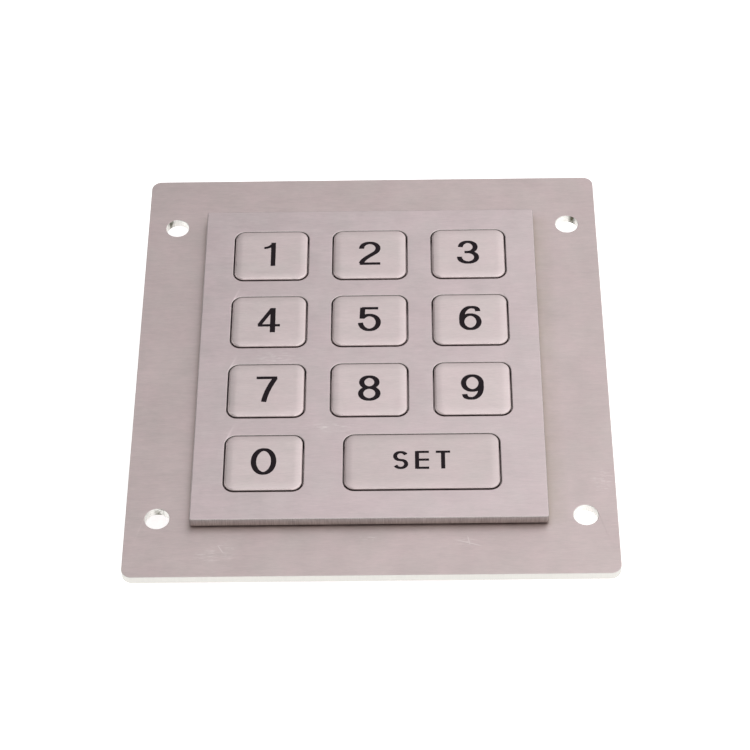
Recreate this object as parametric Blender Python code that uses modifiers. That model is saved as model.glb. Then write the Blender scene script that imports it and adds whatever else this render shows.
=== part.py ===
"""Stainless-steel keypad access reader, built as an assembly of separate pieces.

Units are metres. +Z points out of the front face and +Y points at the 1-2-3 row of keys. The
unit lies on its rear cover: the origin is below the middle of the panel, level with the
cover's outer face.
"""

import bmesh
import bpy
from mathutils import Matrix, Vector

# ---- driving dimensions -----------------------------------------------------------------
GAP = 0.0003                        # clearance kept between pieces that rest on each other

PANEL_SIZE = (0.1000, 0.1100)       # mounting panel, width and height
PANEL_THICKNESS = 0.0020
PANEL_CORNER = 0.0022
MOUNT_HOLE_PITCH = (0.0870, 0.0810)
MOUNT_HOLE_RADIUS = 0.0025          # clears an M4 screw

KEY_PLATE_SIZE = (0.0726, 0.0856)   # raised plate that the keys come through
KEY_PLATE_THICKNESS = 0.0022
KEY_PLATE_CORNER = 0.0004
KEY_PLATE_CENTRE = (-0.0004, 0.00015)

KEY_PITCH = (0.02165, 0.01927)      # column and row spacing
KEY_GRID_RISE = 0.0004              # the grid sits this far above the plate's middle
KEY_CAP_SIZE = (0.0159, 0.0141)
SET_CAP_SIZE = (0.0318, 0.0141)
KEY_CORNER = 0.0021
KEY_GAP = 0.00026                   # sideways clearance between a cap and its window
KEY_STAND_PROUD = 0.00045           # cap's rise above the plate
KEY_EDGE_ROUND = 0.0005
KEY_SKIRT = 0.0009                  # rim that keeps the key behind the plate
KEY_SKIRT_THICKNESS = 0.0009
KEY_TRAVEL = 0.0007

MAT_THICKNESS = 0.0010
DOME_FOOT_RADIUS = 0.0046
DOME_BOSS_RADIUS = 0.0027
DOME_WALL = 0.0008
PILL_RADIUS = 0.0020
PILL_THICKNESS = 0.0004
PILL_CLEARANCE = 0.0002             # left under a pill when its key is fully down

BOARD_SIZE = (0.0718, 0.0848)       # outline shared by the silicone mat and the circuit board
BOARD_CORNER = 0.0010
PCB_THICKNESS = 0.0016

COVER_SHEET = 0.0010
COVER_DEPTH = 0.0077                # from the rim's outer face to the floor's outer face
TRAY_SIZE = (0.0600, 0.0730)
TRAY_CORNER = 0.0030

STUD_RADIUS = 0.00125               # M2.5
STUD_INSET = 0.00265                # stud axis to key plate edge
STUD_TAIL = 0.0007                  # thread left showing past the nut
NUT_ACROSS_CORNERS = 0.00577
NUT_THICKNESS = 0.0020

HEADER_SIZE = (0.0124, 0.00575, 0.0069)
HEADER_WALL = 0.0007
HEADER_FLOOR = 0.0015
HEADER_CENTRE = (0.0, -0.0240)
PIN_SIZE = 0.00064
PIN_PITCH = 0.0025
PIN_COUNT = 4
PIN_RECESS = 0.0010                 # pin tips stay this far inside the header's mouth

CHIP_SIZE = (0.0100, 0.0100, 0.0014)
CHIP_CENTRE = (-0.0080, 0.0100)
CRYSTAL_SIZE = (0.0050, 0.0032, 0.0013)
CRYSTAL_CENTRE = (0.0060, 0.0100)
CAPACITOR_RADIUS = 0.00315
CAPACITOR_HEIGHT = 0.0054
CAPACITOR_CENTRE = (0.0150, -0.0120)

# ---- levels, from the floor of the rear cover up to the key tops --------------------------
COVER_RIM_BOTTOM = COVER_DEPTH - COVER_SHEET
COVER_RIM_TOP = COVER_DEPTH
PCB_BOTTOM = COVER_RIM_TOP + GAP
PCB_TOP = PCB_BOTTOM + PCB_THICKNESS
MAT_BOTTOM = PCB_TOP + GAP
MAT_TOP = MAT_BOTTOM + MAT_THICKNESS
PANEL_BOTTOM = MAT_TOP + GAP
PANEL_TOP = PANEL_BOTTOM + PANEL_THICKNESS
KEY_PLATE_BOTTOM = PANEL_TOP + GAP
KEY_PLATE_TOP = KEY_PLATE_BOTTOM + KEY_PLATE_THICKNESS
KEY_SKIRT_TOP = KEY_PLATE_BOTTOM - GAP
KEY_BOTTOM = KEY_SKIRT_TOP - KEY_SKIRT_THICKNESS
KEY_TOP = KEY_PLATE_TOP + KEY_STAND_PROUD
DOME_TOP = KEY_BOTTOM - GAP
STUD_TOP = KEY_PLATE_BOTTOM - GAP
NUT_TOP = COVER_RIM_BOTTOM - GAP
NUT_BOTTOM = NUT_TOP - NUT_THICKNESS
STUD_BOTTOM = NUT_BOTTOM - STUD_TAIL

ROUND_STEPS = 12                    # sides of small round pieces
HOLE_STEPS = 24                     # sides of the mounting holes
CORNER_STEPS = 3                    # segments on each rounded corner
OVERCUT = 0.0010                    # how far a cutter runs past the wall it cuts

STEEL = ((0.58, 0.52, 0.51), 0.34, 1.0)
STEEL_REAR = ((0.56, 0.55, 0.55), 0.40, 1.0)
SILICONE = ((0.045, 0.045, 0.048), 0.75, 0.0)
CARBON = ((0.012, 0.012, 0.012), 0.60, 0.0)
BOARD_GREEN = ((0.012, 0.085, 0.035), 0.45, 0.0)
CHIP_BLACK = ((0.018, 0.018, 0.019), 0.50, 0.0)
CAN_METAL = ((0.60, 0.60, 0.60), 0.30, 1.0)
HEADER_WHITE = ((0.78, 0.76, 0.70), 0.50, 0.0)
PIN_TIN = ((0.66, 0.64, 0.60), 0.28, 1.0)
ZINC = ((0.50, 0.51, 0.52), 0.35, 1.0)


# ---- scene and material helpers -----------------------------------------------------------
def clear_scene():
    for obj in list(bpy.data.objects):
        bpy.data.objects.remove(obj, do_unlink=True)


def new_collection(name):
    collection = bpy.data.collections.new(name)
    bpy.context.scene.collection.children.link(collection)
    return collection


def principled(name, look):
    colour, roughness, metallic = look
    material = bpy.data.materials.new(name)
    material.use_nodes = True
    shader = material.node_tree.nodes["Principled BSDF"]
    shader.inputs["Base Color"].default_value = (*colour, 1.0)
    shader.inputs["Roughness"].default_value = roughness
    shader.inputs["Metallic"].default_value = metallic
    material.diffuse_color = (*colour, 1.0)
    return material


def place(name, mesh, location, collection, material=None):
    obj = bpy.data.objects.new(name, mesh)
    obj.location = location
    collection.objects.link(obj)
    if material and not mesh.materials:
        mesh.materials.append(material)
    return obj


def as_cutter(obj):
    obj.hide_render = True
    obj.display_type = "WIRE"
    return obj


def boolean(target, tool, operation):
    modifier = target.modifiers.new(tool.name, "BOOLEAN")
    modifier.operation = operation
    modifier.solver = "EXACT"
    modifier.object = tool


# ---- mesh helpers -------------------------------------------------------------------------
def add_block(shape, size, bottom, top, corner=0.0, centre=(0.0, 0.0), steps=CORNER_STEPS):
    """Add a box to a bmesh, with its upright edges rounded."""
    made = bmesh.ops.create_cube(shape, size=1.0)
    verts = made["verts"]
    bmesh.ops.scale(shape, vec=Vector((size[0], size[1], top - bottom)), verts=verts)
    middle = Vector((centre[0], centre[1], (bottom + top) / 2))
    bmesh.ops.translate(shape, vec=middle, verts=verts)
    if corner:
        edges = {edge for vert in verts for edge in vert.link_edges}
        upright = [edge for edge in edges if abs(edge.verts[0].co.z - edge.verts[1].co.z) > 1e-6]
        bmesh.ops.bevel(
            shape, geom=upright, offset=corner, segments=steps, profile=0.5, affect="EDGES"
        )


def highest_face(shape):
    return max(shape.faces, key=lambda face: face.calc_center_median().z)


def add_rod(shape, radius, bottom, top, centre=(0.0, 0.0), steps=ROUND_STEPS):
    """Add an upright closed cylinder, or a prism with few steps, to a bmesh."""
    bmesh.ops.create_cone(
        shape,
        cap_ends=True,
        segments=steps,
        radius1=radius,
        radius2=radius,
        depth=top - bottom,
        matrix=Matrix.Translation((centre[0], centre[1], (bottom + top) / 2)),
    )


def finish_mesh(shape, name):
    mesh = bpy.data.meshes.new(name)
    shape.to_mesh(mesh)
    shape.free()
    return mesh


def block_mesh(name, size, bottom, top, corner=0.0):
    shape = bmesh.new()
    add_block(shape, size, bottom, top, corner)
    return finish_mesh(shape, name)


def rod_mesh(name, radius, bottom, top, steps=ROUND_STEPS):
    shape = bmesh.new()
    add_rod(shape, radius, bottom, top, steps=steps)
    return finish_mesh(shape, name)


def cutter_object(name, shape, cutters, location=(0.0, 0.0, 0.0)):
    return as_cutter(place(name, finish_mesh(shape, name), location, cutters))


# ---- layout -------------------------------------------------------------------------------
def key_layout():
    """Return {legend: (x, y, cap size)} for the eleven keys."""
    layout = {}
    middle_x, middle_y = KEY_PLATE_CENTRE
    middle_y += KEY_GRID_RISE
    rows = ("123", "456", "789", "0")
    for row, legends in enumerate(rows):
        y = middle_y + (1.5 - row) * KEY_PITCH[1]
        for column, legend in enumerate(legends):
            x = middle_x + (column - 1) * KEY_PITCH[0]
            layout[legend] = (x, y, KEY_CAP_SIZE)
    layout["set"] = (middle_x + KEY_PITCH[0] / 2, middle_y - 1.5 * KEY_PITCH[1], SET_CAP_SIZE)
    return layout


def stud_layout():
    """Return the six stud axes: the key plate's corners and the middles of its long sides."""
    reach_x = KEY_PLATE_SIZE[0] / 2 - STUD_INSET
    reach_y = KEY_PLATE_SIZE[1] / 2 - STUD_INSET
    middle_x, middle_y = KEY_PLATE_CENTRE
    return [
        (middle_x + side * reach_x, middle_y + level * reach_y)
        for level in (1, 0, -1)
        for side in (-1, 1)
    ]


def stud_holes(name, bottom, top, cutters):
    shape = bmesh.new()
    for centre in stud_layout():
        add_rod(shape, STUD_RADIUS + GAP, bottom - OVERCUT, top + OVERCUT, centre)
    return cutter_object(name, shape, cutters)


# ---- front: panel, key plate and keys -----------------------------------------------------
def make_panel(parts, cutters, material):
    mesh = block_mesh("flange_plate", PANEL_SIZE, PANEL_BOTTOM, PANEL_TOP, PANEL_CORNER)
    panel = place("flange_plate", mesh, (0.0, 0.0, 0.0), parts, material)

    window = bmesh.new()
    reach_x = KEY_PITCH[0] + KEY_CAP_SIZE[0] / 2 + KEY_SKIRT + GAP
    reach_y = 1.5 * KEY_PITCH[1] + KEY_GRID_RISE + KEY_CAP_SIZE[1] / 2 + KEY_SKIRT + GAP
    low, high = PANEL_BOTTOM - OVERCUT, PANEL_TOP + OVERCUT
    add_block(window, (2 * reach_x, 2 * reach_y), low, high, KEY_CORNER, KEY_PLATE_CENTRE)
    boolean(panel, cutter_object("cut_panel_window", window, cutters), "DIFFERENCE")

    holes = bmesh.new()
    for side in (-1, 1):
        for level in (-1, 1):
            centre = (side * MOUNT_HOLE_PITCH[0] / 2, level * MOUNT_HOLE_PITCH[1] / 2)
            add_rod(holes, MOUNT_HOLE_RADIUS, low, high, centre, HOLE_STEPS)
    boolean(panel, cutter_object("cut_mount_holes", holes, cutters), "DIFFERENCE")
    boolean(panel, stud_holes("cut_panel_studs", low, high, cutters), "DIFFERENCE")


def make_key_plate(parts, cutters, material):
    location = (*KEY_PLATE_CENTRE, 0.0)
    mesh = block_mesh(
        "key_plate", KEY_PLATE_SIZE, KEY_PLATE_BOTTOM, KEY_PLATE_TOP, KEY_PLATE_CORNER
    )
    plate = place("key_plate", mesh, location, parts, material)

    windows = bmesh.new()
    low, high = KEY_PLATE_BOTTOM - OVERCUT, KEY_PLATE_TOP + OVERCUT
    for x, y, cap in key_layout().values():
        size = (cap[0] + 2 * KEY_GAP, cap[1] + 2 * KEY_GAP)
        add_block(windows, size, low, high, KEY_CORNER + KEY_GAP, (x, y))
    boolean(plate, cutter_object("cut_key_windows", windows, cutters), "DIFFERENCE")


def key_mesh(name, cap):
    """A solid cap that steps out to a retaining skirt. Its local zero is its underside."""
    shape = bmesh.new()
    skirt_size = (cap[0] + 2 * KEY_SKIRT, cap[1] + 2 * KEY_SKIRT)
    add_block(shape, skirt_size, 0.0, KEY_SKIRT_THICKNESS, KEY_CORNER + KEY_SKIRT)
    skirt_top = highest_face(shape)
    bmesh.ops.inset_region(shape, faces=[skirt_top], thickness=KEY_SKIRT, use_even_offset=True)
    cap_top = bmesh.ops.extrude_discrete_faces(shape, faces=[skirt_top])["faces"][0]
    rise = KEY_TOP - KEY_SKIRT_TOP
    bmesh.ops.translate(shape, vec=Vector((0.0, 0.0, rise)), verts=cap_top.verts)
    bmesh.ops.bevel(
        shape,
        geom=list(cap_top.edges),
        offset=KEY_EDGE_ROUND,
        segments=2,
        profile=0.5,
        affect="EDGES",
    )
    return finish_mesh(shape, name)


def make_keys(parts, material):
    digit = key_mesh("digit_key", KEY_CAP_SIZE)
    wide = key_mesh("set_key", SET_CAP_SIZE)
    for legend, (x, y, cap) in key_layout().items():
        mesh = wide if cap is SET_CAP_SIZE else digit
        place(f"key_{legend}", mesh, (x, y, KEY_BOTTOM), parts, material)


# ---- switch layer: silicone mat, domes and contact pills ----------------------------------
def make_mat(parts, cutters, material):
    location = (*KEY_PLATE_CENTRE, 0.0)
    mesh = block_mesh("silicone_mat", BOARD_SIZE, MAT_BOTTOM, MAT_TOP, BOARD_CORNER)
    mat = place("silicone_mat", mesh, location, parts, material)

    wells = bmesh.new()
    low, high = MAT_BOTTOM - OVERCUT, MAT_TOP + OVERCUT
    for x, y, _ in key_layout().values():
        add_rod(wells, DOME_FOOT_RADIUS + GAP, low, high, (x, y), ROUND_STEPS)
    boolean(mat, cutter_object("cut_dome_wells", wells, cutters), "DIFFERENCE")
    boolean(mat, stud_holes("cut_mat_studs", low, high, cutters), "DIFFERENCE")


def dome_profile():
    """Half section of one dome, from the top of its boss round to the roof of its hollow."""
    height = DOME_TOP - MAT_BOTTOM
    foot_inner = DOME_FOOT_RADIUS - 0.0011
    foot_top = DOME_WALL
    return [
        (0.0, height),
        (DOME_BOSS_RADIUS, height),
        (DOME_BOSS_RADIUS, height - 0.0005),
        (DOME_FOOT_RADIUS - 0.0006, foot_top),
        (DOME_FOOT_RADIUS, foot_top),
        (DOME_FOOT_RADIUS, 0.0),
        (foot_inner, 0.0),
        (foot_inner, 0.0004),
        (DOME_BOSS_RADIUS - 0.0004, height - DOME_WALL),
        (0.0, height - DOME_WALL),
    ]


def make_domes(parts, material):
    profile = dome_profile()
    mesh = bpy.data.meshes.new("dome")
    points = [(radius, 0.0, height) for radius, height in profile]
    edges = [(index, index + 1) for index in range(len(points) - 1)]
    mesh.from_pydata(points, edges, [])
    for legend, (x, y, _) in key_layout().items():
        dome = place(f"dome_{legend}", mesh, (x, y, MAT_BOTTOM), parts, material)
        turn = dome.modifiers.new("turn", "SCREW")
        turn.axis = "Z"
        turn.steps = ROUND_STEPS
        turn.render_steps = ROUND_STEPS
        turn.use_merge_vertices = True
        turn.merge_threshold = 0.00001


def make_pills(parts, material):
    mesh = rod_mesh("pill", PILL_RADIUS, 0.0, PILL_THICKNESS)
    bottom = PCB_TOP + KEY_TRAVEL + PILL_CLEARANCE
    for legend, (x, y, _) in key_layout().items():
        place(f"contact_pill_{legend}", mesh, (x, y, bottom), parts, material)


# ---- circuit board and what is soldered on it ---------------------------------------------
def make_board(parts, cutters, material):
    location = (*KEY_PLATE_CENTRE, 0.0)
    mesh = block_mesh("pcb", BOARD_SIZE, PCB_BOTTOM, PCB_TOP, BOARD_CORNER)
    board = place("pcb", mesh, location, parts, material)
    holes = stud_holes("cut_board_studs", PCB_BOTTOM, PCB_TOP, cutters)
    boolean(board, holes, "DIFFERENCE")


def make_components(parts, chip_material, can_material):
    under_board = PCB_BOTTOM - GAP
    chip = block_mesh("controller_chip", CHIP_SIZE, -CHIP_SIZE[2], 0.0)
    place("controller_chip", chip, (*CHIP_CENTRE, under_board), parts, chip_material)
    crystal = block_mesh("crystal", CRYSTAL_SIZE, -CRYSTAL_SIZE[2], 0.0, 0.0005)
    place("crystal", crystal, (*CRYSTAL_CENTRE, under_board), parts, can_material)
    can = rod_mesh("capacitor", CAPACITOR_RADIUS, -CAPACITOR_HEIGHT, 0.0, HOLE_STEPS)
    place("capacitor", can, (*CAPACITOR_CENTRE, under_board), parts, can_material)


def make_header(parts, cutters, shroud_material, pin_material):
    """Boxed header that opens downwards through the rear cover, with its row of pins."""
    under_board = PCB_BOTTOM - GAP
    location = (*HEADER_CENTRE, under_board)
    width, depth, length = HEADER_SIZE
    shroud = place(
        "connector_header",
        block_mesh("connector_header", HEADER_SIZE, -length, 0.0),
        location,
        parts,
        shroud_material,
    )
    cavity = bmesh.new()
    cavity_size = (width - 2 * HEADER_WALL, depth - 2 * HEADER_WALL)
    add_block(cavity, cavity_size, -length - OVERCUT, -HEADER_FLOOR)
    boolean(shroud, cutter_object("cut_header", cavity, cutters, location), "DIFFERENCE")

    pin_bottom = -length + PIN_RECESS
    pin_mesh = block_mesh("header_pin", (PIN_SIZE, PIN_SIZE), pin_bottom, -HEADER_FLOOR - GAP)
    for index in range(PIN_COUNT):
        x = HEADER_CENTRE[0] + (index - (PIN_COUNT - 1) / 2) * PIN_PITCH
        place(
            f"header_pin_{index + 1}",
            pin_mesh,
            (x, HEADER_CENTRE[1], under_board),
            parts,
            pin_material,
        )


# ---- rear: pressed cover, studs and nuts --------------------------------------------------
def make_rear_cover(parts, cutters, material):
    location = (*KEY_PLATE_CENTRE, 0.0)
    rim = block_mesh(
        "rear_cover", KEY_PLATE_SIZE, COVER_RIM_BOTTOM, COVER_RIM_TOP, BOARD_CORNER
    )
    cover = place("rear_cover", rim, location, parts, material)

    tray = bmesh.new()
    middle_of_rim = (COVER_RIM_BOTTOM + COVER_RIM_TOP) / 2
    add_block(tray, TRAY_SIZE, 0.0, middle_of_rim, TRAY_CORNER)
    boolean(cover, cutter_object("add_tray", tray, cutters, location), "UNION")

    hollow = bmesh.new()
    hollow_size = (TRAY_SIZE[0] - 2 * COVER_SHEET, TRAY_SIZE[1] - 2 * COVER_SHEET)
    add_block(
        hollow, hollow_size, COVER_SHEET, COVER_RIM_TOP + OVERCUT, TRAY_CORNER - COVER_SHEET
    )
    boolean(cover, cutter_object("cut_tray", hollow, cutters, location), "DIFFERENCE")

    mouth = bmesh.new()
    mouth_size = (HEADER_SIZE[0] + 2 * GAP, HEADER_SIZE[1] + 2 * GAP)
    add_block(mouth, mouth_size, -OVERCUT, COVER_SHEET + OVERCUT, 0.0, HEADER_CENTRE)
    boolean(cover, cutter_object("cut_header_mouth", mouth, cutters), "DIFFERENCE")
    holes = stud_holes("cut_cover_studs", COVER_RIM_BOTTOM, COVER_RIM_TOP, cutters)
    boolean(cover, holes, "DIFFERENCE")


def make_fasteners(parts, cutters, stud_material, nut_material):
    stud = rod_mesh("stud", STUD_RADIUS, STUD_BOTTOM, STUD_TOP)
    nut = rod_mesh("nut", NUT_ACROSS_CORNERS / 2, NUT_BOTTOM, NUT_TOP, 6)
    bores = bmesh.new()
    for centre in stud_layout():
        low, high = NUT_BOTTOM - OVERCUT, NUT_TOP + OVERCUT
        add_rod(bores, STUD_RADIUS + GAP, low, high, centre)
    bore_cutter = cutter_object("cut_nut_bores", bores, cutters)
    for index, (x, y) in enumerate(stud_layout(), start=1):
        place(f"stud_{index}", stud, (x, y, 0.0), parts, stud_material)
        hex_nut = place(f"nut_{index}", nut, (x, y, 0.0), parts, nut_material)
        boolean(hex_nut, bore_cutter, "DIFFERENCE")


def main():
    clear_scene()
    parts = new_collection("keypad_access_reader")
    cutters = new_collection("cutters")

    steel = principled("brushed_steel", STEEL)
    rear_steel = principled("rear_steel", STEEL_REAR)
    silicone = principled("silicone", SILICONE)
    metal_can = principled("metal_can", CAN_METAL)
    zinc = principled("zinc", ZINC)

    make_panel(parts, cutters, steel)
    make_key_plate(parts, cutters, steel)
    make_keys(parts, principled("key_steel", STEEL))
    make_mat(parts, cutters, silicone)
    make_domes(parts, silicone)
    make_pills(parts, principled("carbon", CARBON))
    make_board(parts, cutters, principled("board_green", BOARD_GREEN))
    make_components(parts, principled("chip_black", CHIP_BLACK), metal_can)
    make_header(
        parts, cutters, principled("header_white", HEADER_WHITE), principled("pin_tin", PIN_TIN)
    )
    make_rear_cover(parts, cutters, rear_steel)
    make_fasteners(parts, cutters, rear_steel, zinc)


main()
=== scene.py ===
"""Looks of the stainless-steel keypad access reader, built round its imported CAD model.

Everything is in metres, in the CAD model's frame: +Z out of the front face, +Y towards the
1-2-3 row. The unit lies on its rear cover on a pale studio floor.
"""

import math

import bmesh
import bpy
from mathutils import Matrix, Vector


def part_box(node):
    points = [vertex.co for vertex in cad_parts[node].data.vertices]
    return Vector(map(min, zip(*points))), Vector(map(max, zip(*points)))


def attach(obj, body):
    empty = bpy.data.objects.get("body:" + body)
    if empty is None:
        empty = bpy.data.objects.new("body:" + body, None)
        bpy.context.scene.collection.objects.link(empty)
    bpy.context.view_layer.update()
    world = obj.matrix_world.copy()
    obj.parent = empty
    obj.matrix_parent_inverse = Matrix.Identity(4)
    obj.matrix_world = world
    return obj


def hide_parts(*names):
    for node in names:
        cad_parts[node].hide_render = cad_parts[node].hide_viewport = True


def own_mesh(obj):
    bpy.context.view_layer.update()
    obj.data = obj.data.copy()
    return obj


MM = 0.001

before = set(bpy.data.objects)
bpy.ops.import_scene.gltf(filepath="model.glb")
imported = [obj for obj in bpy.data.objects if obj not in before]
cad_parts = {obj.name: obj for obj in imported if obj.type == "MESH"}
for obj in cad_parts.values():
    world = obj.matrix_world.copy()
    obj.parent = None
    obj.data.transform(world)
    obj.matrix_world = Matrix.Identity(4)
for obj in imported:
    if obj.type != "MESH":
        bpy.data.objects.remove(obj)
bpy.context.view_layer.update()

LEGENDS = ("1", "2", "3", "4", "5", "6", "7", "8", "9", "0", "set")
STUDS = [f"stud_{index}" for index in range(1, 7)]
NUTS = [f"nut_{index}" for index in range(1, 7)]
PIN_COUNT = 4
CORNERS = ((-1, -1), (1, -1), (1, 1), (-1, 1))

# ---- camera ----
CAMERA_AZIMUTH = 1.275              # degrees round from straight in front
CAMERA_ELEVATION = 50.0
CAMERA_ROLL = -1.58
CAMERA_DISTANCE = 0.52607
CAMERA_LENS = 118.85                # on a 36 mm sensor
AIM_OFFSET = (0.735 * MM, -2.965 * MM)

# ---- finished-piece dimensions that the CAD boxes don't give ----
PANEL_CORNER = 2.2 * MM
PANEL_EDGE = 0.14 * MM
MOUNT_HOLE_PITCH = (87.0 * MM, 81.0 * MM)
MOUNT_HOLE_RADIUS = 2.5 * MM
HOLE_WALL_REACH = 1.2 * MOUNT_HOLE_RADIUS
WINDOW_CLEARANCE = 0.3 * MM         # panel window round the keys' skirts
PLATE_CORNER = 0.45 * MM
PLATE_EDGE = 0.22 * MM
KEY_CORNER = 2.1 * MM
KEY_GAP = 0.26 * MM
KEY_SKIRT = 0.9 * MM
KEY_SKIRT_THICKNESS = 0.9 * MM
SKIRT_FOOT_EDGE = 0.12 * MM
SKIRT_EDGE = 0.10 * MM
KEY_EDGE_ROUND = 0.42 * MM
KEY_PILLOW_WIDTH = 1.40 * MM        # the top eases down over this much towards its rounded edge
KEY_PILLOW_DROP = 0.075 * MM
LEGEND_RISE = 0.03 * MM             # key tops stop this far below the CAD top, legends reach it
LEGEND_DEPTH = 0.08 * MM
WELD_DISTANCE = 0.001 * MM          # a plate's caps and walls meet closer than this
LEVEL_FACE = 0.85                   # a level face's normal has a Z above this


# ---- small helpers ----
def box_size(node):
    low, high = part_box(node)
    return Vector(high) - Vector(low)


def box_middle(node):
    low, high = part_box(node)
    return (Vector(high) + Vector(low)) / 2


def centre_of(node):
    """Where the middle of a CAD node's box stands, seen from above."""
    return tuple(box_middle(node).xy)


def levels_of(node):
    """Lowest and highest Z of a CAD node's box."""
    low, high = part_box(node)
    return low[2], high[2]


def polar(centre, radius, angle):
    return centre[0] + radius * math.cos(angle), centre[1] + radius * math.sin(angle)


def link(name, data):
    obj = bpy.data.objects.new(name, data)
    bpy.context.scene.collection.objects.link(obj)
    return obj


def evaluated_mesh(obj):
    graph = bpy.context.evaluated_depsgraph_get()
    return bpy.data.meshes.new_from_object(obj.evaluated_get(graph), depsgraph=graph)


def smooth(mesh, angle_degrees):
    mesh.shade_smooth()
    mesh.set_sharp_from_angle(angle=math.radians(angle_degrees))


def keep_flats_flat(obj):
    """Shade the rounded edges smoothly without bending the light across the flat faces."""
    modifier = obj.modifiers.new("weighted_normals", "WEIGHTED_NORMAL")
    modifier.mode = "FACE_AREA"
    modifier.weight = 100
    modifier.keep_sharp = True


def finish_piece(obj, material, body, slot, *nodes):
    """Coat a piece that isn't painted yet, and ride it in place of the CAD nodes it stands for."""
    if material:
        obj.data.materials.append(material)
    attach(obj, body)
    if nodes:
        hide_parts(*nodes)


# ---- outlines ----
def arc(centre, radii, start, end, steps=28):
    """Points on an ellipse from one angle to another, in degrees, clockwise if end < start."""
    points = []
    for step in range(steps + 1):
        angle = math.radians(start + (end - start) * step / steps)
        x = centre[0] + radii[0] * math.cos(angle)
        y = centre[1] + radii[1] * math.sin(angle)
        points.append((x, y))
    return points


def circle(radius, centre, steps):
    return arc(centre, (radius, radius), 0, 360, steps)[:-1]


def rounded_rectangle(size, radius, centre, steps=10):
    """Corner arcs of a rounded rectangle, anticlockwise."""
    half_x, half_y = size[0] / 2 - radius, size[1] / 2 - radius
    points = []
    for quarter, (side_x, side_y) in enumerate(((1, 1), (-1, 1), (-1, -1), (1, -1))):
        corner = (centre[0] + side_x * half_x, centre[1] + side_y * half_y)
        points += arc(corner, (radius, radius), 90 * quarter, 90 * (quarter + 1), steps)
    return points


# ---- mesh builders ----
def plate(name, loops, bottom, top, edge):
    """A flat plate from 2D loops, the first its outline and the rest holes, with eased edges."""
    curve = bpy.data.curves.new(name, "CURVE")
    curve.dimensions = "2D"
    curve.fill_mode = "BOTH"
    curve.extrude = (top - bottom) / 2 - edge
    curve.bevel_depth = edge
    curve.bevel_resolution = 2
    curve.offset = -edge
    for loop in loops:
        spline = curve.splines.new("POLY")
        spline.points.add(len(loop) - 1)
        spline.use_cyclic_u = True
        for point, (x, y) in zip(spline.points, loop):
            point.co = (x, y, 0.0, 1.0)
    shape = link(name, curve)
    mesh = evaluated_mesh(shape)
    bpy.data.objects.remove(shape)
    welded = bmesh.new()
    welded.from_mesh(mesh)
    bmesh.ops.remove_doubles(welded, verts=welded.verts, dist=WELD_DISTANCE)
    bmesh.ops.translate(welded, verts=welded.verts, vec=(0.0, 0.0, (bottom + top) / 2))
    welded.to_mesh(mesh)
    welded.free()
    smooth(mesh, 50.0)
    finished = link(name, mesh)
    keep_flats_flat(finished)
    return finished


def sheet(name, node, corner, holes, edge, steps=10):
    """A plate that fills a CAD node's box, with rounded corners and holes through it."""
    bottom, top = levels_of(node)
    outline = rounded_rectangle(box_size(node), corner, centre_of(node), steps)
    return plate(name, [outline] + holes, bottom, top, edge)


def skin(shape, rings, closed=False):
    """Faces over rings of equally many 3D points, capped at the ends unless they close round."""
    rows = [[shape.verts.new(point) for point in ring] for ring in rings]
    count = len(rows[0])
    spans = list(zip(rows, rows[1:]))
    if closed:
        spans.append((rows[-1], rows[0]))
    for lower, upper in spans:
        for index in range(count):
            after = (index + 1) % count
            shape.faces.new((lower[index], lower[after], upper[after], upper[index]))
    if not closed:
        shape.faces.new(list(reversed(rows[0])))
        shape.faces.new(rows[-1])


def mesh_object(name, shape):
    """An object made from a bmesh, which is freed, with its faces turned outwards."""
    bmesh.ops.recalc_face_normals(shape, faces=shape.faces)
    mesh = bpy.data.meshes.new(name)
    shape.to_mesh(mesh)
    shape.free()
    return link(name, mesh)


def loft(name, rings, closed=False):
    """A solid skinned over rings and shaded smooth."""
    shape = bmesh.new()
    skin(shape, rings, closed)
    solid = mesh_object(name, shape)
    smooth(solid.data, 50.0)
    keep_flats_flat(solid)
    return solid


def eased(profile, steps=4):
    """A 2D polyline given as (across, height, corner radius), with its corners rounded."""
    points = [profile[0][:2]]
    for before, here, after in zip(profile, profile[1:], profile[2:]):
        corner = Vector(here[:2])
        radius = here[2]
        if not radius:
            points.append(here[:2])
            continue
        start = corner + (Vector(before[:2]) - corner).normalized() * radius
        end = corner + (Vector(after[:2]) - corner).normalized() * radius
        for step in range(steps + 1):
            t = step / steps
            points.append(tuple((1 - t) ** 2 * start + 2 * t * (1 - t) * corner + t * t * end))
    points.append(profile[-1][:2])
    return points


def turned(name, profile, centre, steps):
    """A solid of revolution. Its profile holds (radius, height, corner radius)."""
    rings = []
    for radius, height in eased(profile):
        rings.append([(x, y, height) for x, y in circle(radius, centre, steps)])
    return loft(name, rings)


def boxed(name, size, corner, profile, centre):
    """A solid of rounded-rectangle rings. Its profile holds (inset, height, corner radius).

    The rings' own corners are one radius, or a function of how far each is inset.
    """
    rings = []
    for inset, height in eased(profile):
        ring_size = (size[0] - 2 * inset, size[1] - 2 * inset)
        radius = corner(inset) if callable(corner) else corner
        outline = rounded_rectangle(ring_size, radius, centre, 6)
        rings.append([(x, y, height) for x, y in outline])
    return loft(name, rings)


def paint_walls(obj, face_material, wall_material):
    """Give the level faces one material and everything steeper another."""
    obj.data.materials.clear()
    obj.data.materials.append(face_material)
    obj.data.materials.append(wall_material)
    for polygon in obj.data.polygons:
        polygon.material_index = 0 if abs(polygon.normal.z) > LEVEL_FACE else 1


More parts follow.
